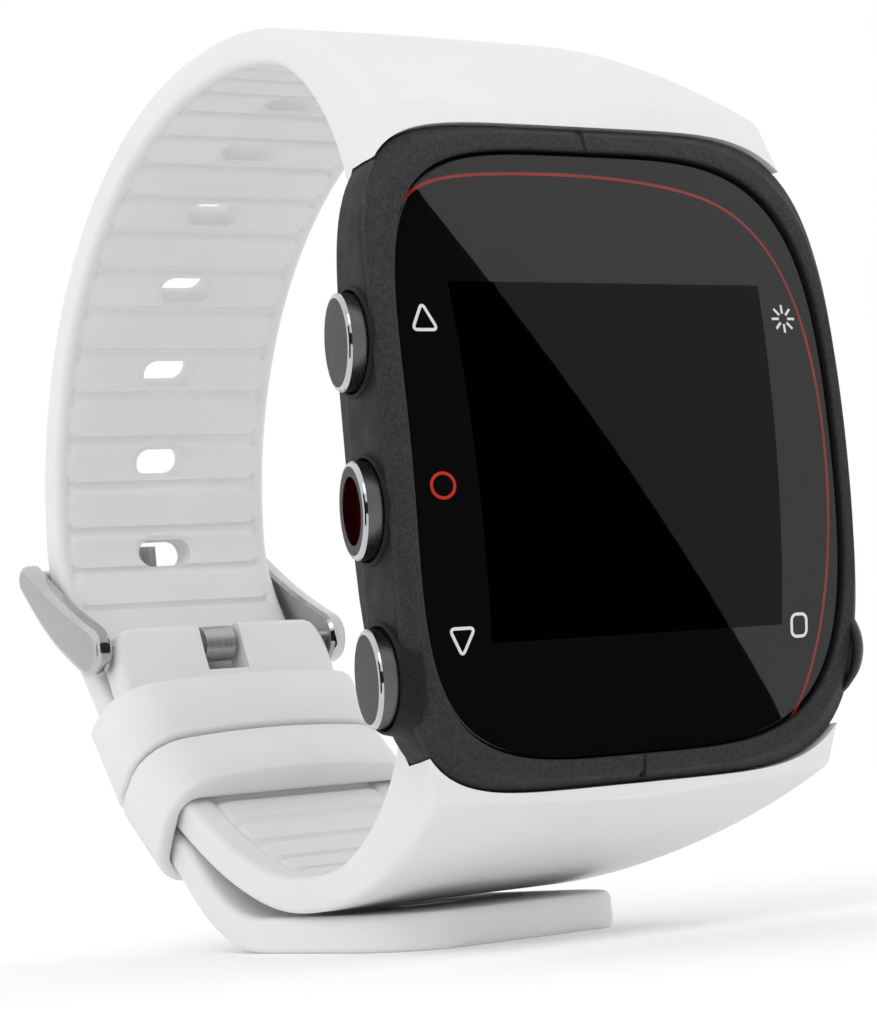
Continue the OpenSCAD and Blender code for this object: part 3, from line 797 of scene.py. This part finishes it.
def build_insert():
    """Dark red inlay in the start button, slightly domed."""
    face = BUTTON_FACE
    profile = [
        (0.01, face - 0.02),
        (0.9, face - 0.03),
        (1.6, face - 0.06),
        (1.95, face - 0.12),
        (INSERT_R, face - 0.2),
        (INSERT_R, face - 0.48),
        (0.01, face - 0.48),
    ]
    verts, faces = loft(lathe(profile, button_frame(*BUTTONS["start"]), 96, FACE_LEAN))
    add_piece("start_inlay", verts, faces, "start_key", ["insert_red"],
              ["start_button_insert"], 40)


# ---- strap -----------------------------------------------------------------------------------


def half_width(s):
    return STRAP_NARROW + (STRAP_WIDE - STRAP_NARROW) * (1 - min(s, TAPER) / TAPER) ** 1.6


def thickness(s):
    return STRAP_T + 5.5 * (1 - min(s, 26) / 26) ** 1.4


def long_line():
    """Outer line of the long strap, from the case over the wrist and back along the ground."""
    top = LOOP[1] + LOOP_R
    over = ((-1.5, 18.6), (9.4, 28.8), (22, top), (LOOP[0], top))
    line = [bezier(over, k / 80) for k in range(80)]
    lay_to, wrap_from, wrap_to = -57, 2, -28
    angle = 90
    while angle > lay_to:
        drop = smooth_step(0, 1, (wrap_from - angle) / (wrap_from - wrap_to))
        line.append(around(angle, LOOP_R - (LOOP_R - LAY_R) * drop))
        angle -= 1
    end = around(lay_to, LAY_R)
    lead = (end[0] + 2 * cos(radians(lay_to - 90)), end[1] + 2 * sin(radians(lay_to - 90)))
    flat_from = 36.5
    ground = (end, lead, (44.2, -FOOT), (flat_from, -FOOT))
    line += [bezier(ground, k / 30) for k in range(30)]
    line += [(flat_from, -FOOT), (TIP_BACK, -FOOT)]
    return line


def short_line():
    """Outer line of the short strap, from the case to the buckle's pivot."""
    low = -FOOT + STRAP_T + SLACK
    join = -58
    end = around(join, SHORT_R)
    lead = (end[0] - 6 * cos(radians(join + 90)), end[1] - 6 * sin(radians(join + 90)))
    line = [bezier(((-1.2, -18.9), (6.2, -24.7), (20, low), (30, low)), k / 80) for k in range(80)]
    line += [bezier(((30, low), (37, low), lead, end), k / 30) for k in range(30)]
    angle = join
    while angle < PIVOT[0] + 3:
        line.append(around(angle, SHORT_R))
        angle += 1
    line.append(around(PIVOT[0] + 3, SHORT_R))
    return line


def pad_relief(x, y, half_x, half_y):
    """1 on a raised pad with rounded corners, falling to 0 in the groove round it."""
    corner = 0.7
    dx = max(abs(x) - half_x + corner, 0)
    dy = max(abs(y) - half_y + corner, 0)
    inside = min(max(abs(x) - half_x, abs(y) - half_y), 0)
    distance = hypot(dx, dy) - corner if dx or dy else inside
    return 1 - smooth_step(-0.16, 0.12, distance)


def hole_rim(x, y):
    """1 at the edge of a strap hole, falling to 0 a little way outside it."""
    straight = HOLE_HALF[0] - HOLE_HALF[1]
    distance = hypot(max(abs(x) - straight, 0), y) - HOLE_HALF[1]
    return 1 - smooth_step(0.0, 0.45, distance)


def long_pads(_, spot, x, width):
    """Inner relief of the long strap: pads half a hole pitch apart, every other one with a hole."""
    angle = degrees(atan2(spot[1] - LOOP[1], spot[0] - LOOP[0]))
    step = HOLE_PITCH / 2
    pad = round((HOLE_FIRST - angle) / step)
    if pad < -3 or pad > 13:
        return 0
    radius = LOOP_R - STRAP_T
    y = radians(HOLE_FIRST - pad * step - angle) * radius
    half_y = radians(step) * radius / 2 - 0.3
    groove = 0.3 * (1 - pad_relief(x, y, width - 1.1, half_y))
    if pad == -3 and y > half_y:
        groove *= 1 - smooth_step(0, 0.8, y - half_y)
    rim = 0.22 * hole_rim(x, y) if pad % 2 == 0 and 0 <= pad <= 12 else 0
    inside = 1 - smooth_step(width - 1.1, width - 0.75, abs(x))
    return max(groove * inside, rim)


def short_pads(s, _, x, width):
    """Inner relief of the short strap: plain ribs between the case and the keepers."""
    first, pitch, last = 12.0, 3.5, 12
    rib = round((s - first) / pitch)
    if rib < 0 or rib > last:
        return 0
    y = s - first - rib * pitch
    side = width - 2.6
    groove = 0.3 * (1 - pad_relief(x, y, side, pitch / 2 - 0.28))
    return groove * (1 - smooth_step(side, side + 0.5, abs(x)))


def strap_section(s, spot, inward, width, depth, relief, inset, ridge):
    """Points round one section of a strap, as a closed ring in the row frame."""
    edge, inner_edge, columns, side_rows = 0.45, 0.6, 64, 4
    width -= inset
    top, bottom = inset, depth - inset
    low, high = top + edge, bottom - inner_edge
    turn = (0, pi / 8, pi / 4, 3 * pi / 8, pi / 2)
    outer = [(width - edge) * (2 * k / columns - 1) for k in range(columns + 1)]
    inner = [(width - inner_edge) * (1 - 2 * k / columns) for k in range(columns + 1)]
    side = [low + (high - low) * k / side_rows for k in range(1, side_rows)]
    points = [(x, top - ridge * (1 - abs(x) / width)) for x in outer]
    points += [(width - edge + edge * sin(a), low - edge * cos(a)) for a in turn[1:]]
    points += [(width, d) for d in side]
    points += [(width - inner_edge + inner_edge * cos(a), high + inner_edge * sin(a)) for a in turn[:-1]]
    points += [(x, bottom - relief(s, spot, x, width)) for x in inner]
    points += [(-width + inner_edge - inner_edge * sin(a), high + inner_edge * cos(a)) for a in turn[1:]]
    points += [(-width, d) for d in reversed(side)]
    points += [(-width + edge - edge * cos(a), low - edge * sin(a)) for a in turn[:-1]]
    return [place(x, spot[0] + d * inward[0], spot[1] + d * inward[1]) for x, d in points]


def strap_rings(line, side, relief, tip_round, step=0.22):
    """Sections along a strap's outer line; side is 1 where the wrist lies to the right of it."""
    rough_length = sum(hypot(b[0] - a[0], b[1] - a[1]) for a, b in zip(line, line[1:]))
    count = ceil(rough_length / step)
    points = resample(line, count)
    step = rough_length / count
    reach = 4
    rings = []
    for i, spot in enumerate(points):
        before, after = points[max(i - reach, 0)], points[min(i + reach, count)]
        span = hypot(after[0] - before[0], after[1] - before[1])
        inward = (side * (after[1] - before[1]) / span, -side * (after[0] - before[0]) / span)
        s, left = i * step, (count - i) * step
        width = half_width(s)
        if left < tip_round:
            width -= 0.5 * (tip_round - sqrt(max(0, 2 * tip_round * left - left * left)))
        nose = 0.6
        inset = nose * (1 - sqrt(max(0, 1 - (1 - left / nose) ** 2))) if left < nose else 0
        ridge = RIDGE_HEIGHT * max(0, 1 - s / 34) ** 1.3
        rings.append(strap_section(s, spot, inward, width, thickness(s), relief, inset, ridge))
    return rings


def box_cutter(name, near, far):
    """A block between two four-cornered faces, given in the same order."""
    sides = [(k, k + 4, (k + 1) % 4 + 4, (k + 1) % 4) for k in range(4)]
    return cutter(name, near + far, [(0, 1, 2, 3), (7, 6, 5, 4)] + sides)


def obround_cutter(to_row, depth):
    straight = HOLE_HALF[0] - HOLE_HALF[1]
    outline = []
    for side in (1, -1):
        for k in range(17):
            a = side * pi / 2 - pi * k / 16 if side > 0 else -pi / 2 - pi * k / 16
            outline.append((side * straight + HOLE_HALF[1] * cos(a), HOLE_HALF[1] * sin(a)))
    rings = [[to_row @ Vector((x, y, z)) for x, y in outline] for z in (-depth / 2, depth / 2)]
    return cutter("hole", *loft(rings))


def hole_frame(spot, angle):
    """Frame of a strap hole: x across, z along the direction at the given angle."""
    out = Vector((0, cos(radians(angle)), sin(radians(angle))))
    over = Vector((1, 0, 0))
    columns = Matrix((over, out.cross(over), out)).transposed() * MM
    return Matrix.Translation(place(0, *spot)) @ columns.to_4x4()


def case_cutter():
    """The case's outside, grown a little, which the strap's ends fit round."""
    rings = [
        case_ring(grown(CASE_HALF, -0.7), -3, -9),
        case_ring(grown(CASE_HALF, 0.08), 0.65, AHEAD, SIDE_SQUARENESS),
        case_ring((17.2, 21.0), 5.9, AHEAD, SIDE_SQUARENESS),
        case_ring((14.5, 19.1), CASE_DEPTH + 0.08, -9),
    ]
    return cutter("case_room", *loft(rings))


def bezel_cutter(side):
    """What lies ahead of the bezel's slope at one end of the case."""
    slope = asin(21.9 / WINDOW_R)
    turn = Matrix.Rotation(-side * slope, 3, "X")
    near, far = -WINDOW_R - BEZEL_LIP + 0.4 - 20, -WINDOW_R - BEZEL_LIP + 0.4
    outline = [turn @ Vector((0, back, up)) for back, up in ((near, -22), (far, -22), (far, 22), (near, 22))]
    ends = [[place(x, WINDOW_R + spot.y, spot.z) for spot in outline] for x in (-40, 40)]
    return box_cutter("bezel_room", *ends)


def finish_strap(obj, cutters, side):
    """Cuts a strap, then keeps its middle ridge crisp where it is tall."""
    carve(obj, cutters)
    mesh = obj.data
    mesh.shade_smooth()
    mesh.set_sharp_from_angle(angle=radians(38))
    sharp = mesh.attributes["sharp_edge"].data
    for edge in mesh.edges:
        a, b = (mesh.vertices[k].co for k in edge.vertices)
        on_middle = abs(a.x) < 1e-6 and abs(b.x) < 1e-6
        ahead = a.y - FRONT < RIDGE_REACH * MM
        outside = side * (a.z - MIDDLE) > (18 + 0.62 * (a.y - FRONT) / MM) * MM
        if on_middle and ahead and outside:
            sharp[edge.index].value = True


def build_long_strap():
    verts, faces = loft(strap_rings(long_line(), 1, long_pads, TIP_ROUND))
    strap = add_piece("long_strap", verts, faces, "watch", ["strap_silicone"],
                      ["upper_strap"])
    cuts = [case_cutter(), bezel_cutter(1)]
    for k in range(7):
        angle = HOLE_FIRST - k * HOLE_PITCH
        cuts.append(obround_cutter(hole_frame(around(angle, LOOP_R - 1), angle), 9))
    cuts += [obround_cutter(hole_frame(around(angle, LAY_R + 1), angle), 11) for angle in TONGUE_HOLES]
    for back in GROUND_HOLES:
        cuts.append(obround_cutter(hole_frame((back, -FOOT + 1), -90), 9))
    finish_strap(strap, cuts, 1)


def build_short_strap():
    verts, faces = loft(strap_rings(short_line(), -1, short_pads, 3.5))
    strap = add_piece("short_strap", verts, faces, "watch", ["strap_silicone"],
                      ["lower_strap"])
    slot_at = PIVOT[0] + 3
    out = Vector((0, cos(radians(slot_at)), sin(radians(slot_at))))
    along = Vector((0, -out.z, out.y))
    middle = place(0, *LOOP)
    outline = [out * radius + along * reach for radius, reach in ((20, -4), (34, -4), (34, 10), (20, 10))]
    ends = [[middle + (spot + Vector((x, 0, 0))) * MM for spot in outline] for x in (-SLOT_HALF, SLOT_HALF)]
    finish_strap(strap, [case_cutter(), bezel_cutter(-1), box_cutter("slot", *ends)], -1)


# ---- keepers ---------------------------------------------------------------------------------


def build_keeper(name, node, body, start, end):
    """Soft band round both straps, with rounded rims and corners."""
    low, high = SHORT_R - STRAP_T - SLACK, LAY_R + SLACK
    middle, half_r, half_x = (low + high) / 2, (high - low) / 2, STRAP_NARROW + SLACK
    rim = 0.42

    def outline(grow, corner):
        x, r = half_x + grow, half_r + grow
        return resample_closed(rounded([(-x, -r), (x, -r), (x, r), (-x, r)], corner), 120)

    profile = []
    for k in range(9):
        a = pi / 2 - pi * k / 8
        profile.append((KEEPER_T / 2 + KEEPER_T / 2 * sin(a), end - degrees(rim / LAY_R) * (1 - cos(a))))
    for k in range(9):
        a = -pi / 2 + pi * k / 8
        profile.append((KEEPER_T / 2 + KEEPER_T / 2 * sin(a), start + degrees(rim / LAY_R) * (1 - cos(a))))
    rings = []
    for grow, angle in profile:
        crown = 0.75 * grow / KEEPER_T
        ring = []
        for x, r in outline(grow, 1.4 + 1.5 * grow):
            bulge = crown * max(0, -r / half_r) * (1 - (x / (half_x + KEEPER_T)) ** 2)
            ring.append(place(x, *around(angle, middle + r - bulge)))
        rings.append(ring)
    verts, faces = loft(rings, closed=True)
    add_piece(name, verts, faces, body, ["strap_silicone"], [node], 50)


def resample_closed(points, count):
    return resample(points + points[:1], count)[:-1]


# ---- buckle ----------------------------------------------------------------------------------


def arc(middle, radius, start, turn, steps=20):
    angles = [start + turn * k / steps for k in range(steps + 1)]
    return [(middle[0] + radius * cos(a), middle[1] + radius * sin(a)) for a in angles]


def bowed(start, end, outward, rise, steps=14):
    """Points between two ends of a line that bows to one side."""
    points = []
    for k in range(1, steps):
        t = k / steps
        bow = rise * sin(pi * t)
        points.append(tuple(start[i] + (end[i] - start[i]) * t + outward[i] * bow for i in (0, 1)))
    return points


def arm_outline(pivot, pivot_r, bar, bar_r):
    """Outline of a buckle arm: round ends, a full outer edge and a hollow inner edge."""
    dx, dy = bar[0] - pivot[0], bar[1] - pivot[1]
    length = hypot(dx, dy)
    along = atan2(dy, dx)
    lean = acos((pivot_r - bar_r) / length)
    outward = (dy / length, -dx / length)
    pivot_end = arc(pivot, pivot_r, along + lean, tau - 2 * lean)
    bar_end = arc(bar, bar_r, along - lean, 2 * lean)
    outer_edge = bowed(pivot_end[-1], bar_end[0], outward, 0.6)
    inner_edge = bowed(bar_end[-1], pivot_end[0], outward, 0.3)
    return pivot_end + outer_edge + bar_end + inner_edge


def build_buckle():
    """Two pear-shaped side plates with polished bevels, joined by the bar that the tongue rests on."""
    pivot, bar = around(*PIVOT), around(*BAR)
    inner = STRAP_NARROW + SLACK
    outer = inner + ARM_T
    all_verts, all_faces, tags = [], [], []
    for side in (-1, 1):
        layers = [
            (inner, 0.25),
            (inner + 0.25, 0.0),
            (outer - 0.42, 0.0),
            (outer - 0.12, 0.14),
            (outer, 0.42),
            (outer + 0.02, 0.5),
        ]
        rings = []
        for x, inset in layers:
            outline = arm_outline(pivot, PIVOT_END_R - inset, bar, BAR_END_R - inset)
            rings.append([place(side * x, *point) for point in outline])
        verts, faces = loft(rings)
        base = len(all_verts)
        count = len(rings[0])
        all_verts += verts
        all_faces += [tuple(base + k for k in face) for face in faces]
        tags += [1] * (len(rings) - 1) * count + [0, 0]
    ends = [(0.3, -inner - 0.5), (BAR_R, -inner - 0.2), (BAR_R, inner + 0.2), (0.3, inner + 0.5)]
    bar_frame = Matrix.Translation(place(0, *bar)) @ Matrix.Rotation(pi / 2, 4, "Y") @ Matrix.Scale(MM, 4)
    verts, faces = loft(lathe(ends, bar_frame, 32))
    base = len(all_verts)
    all_verts += verts
    all_faces += [tuple(base + k for k in face) for face in faces]
    tags += [1] * len(faces)
    add_piece("buckle_sides", all_verts, all_faces, "buckle",
              ["buckle_steel", "buckle_polish"], ["buckle_frame"], 30, tags)


def soften(node, width):
    """A small bevel on a CAD node's edges."""
    modifier = frame["nodes"][node].modifiers.new("bevel", "BEVEL")
    modifier.width = width * MM
    modifier.segments = 2
    modifier.limit_method = "ANGLE"
    modifier.angle_limit = radians(40)


def dress_nodes():
    """Gives every CAD node the material of its slot in the record."""
    slots = {part["node"]: part["material_slot"] for part in frame["record"]["subparts"]}
    for name, obj in frame["nodes"].items():
        obj.data.materials.clear()
        obj.data.materials.append(MATERIALS[slots[name]])


# ---- the whole scene -------------------------------------------------------------------------

bpy.context.scene.view_settings.view_transform = "Standard"
camera = add_camera()
add_world(1.0)
add_softbox("key", (-0.5, -0.35, 0.6), (0, 0, 0.03), (0.5, 0.4), 0.8)
add_floor()
add_glass_cards(camera)
add_side_card()

dress_nodes()
soften("back_cover", 0.25)
soften("usb_cover", 0.15)
soften("buckle_tongue", 0.12)
build_case()
build_window()
for button_key, button_spot in BUTTONS.items():
    build_button(button_key, *button_spot)
build_insert()
build_long_strap()
build_short_strap()
build_keeper("free_band", "sliding_keeper", "free_keeper", -42.4, -28.4)
build_keeper("fixed_band", "fixed_keeper", "watch", -57, -43)
build_buckle()
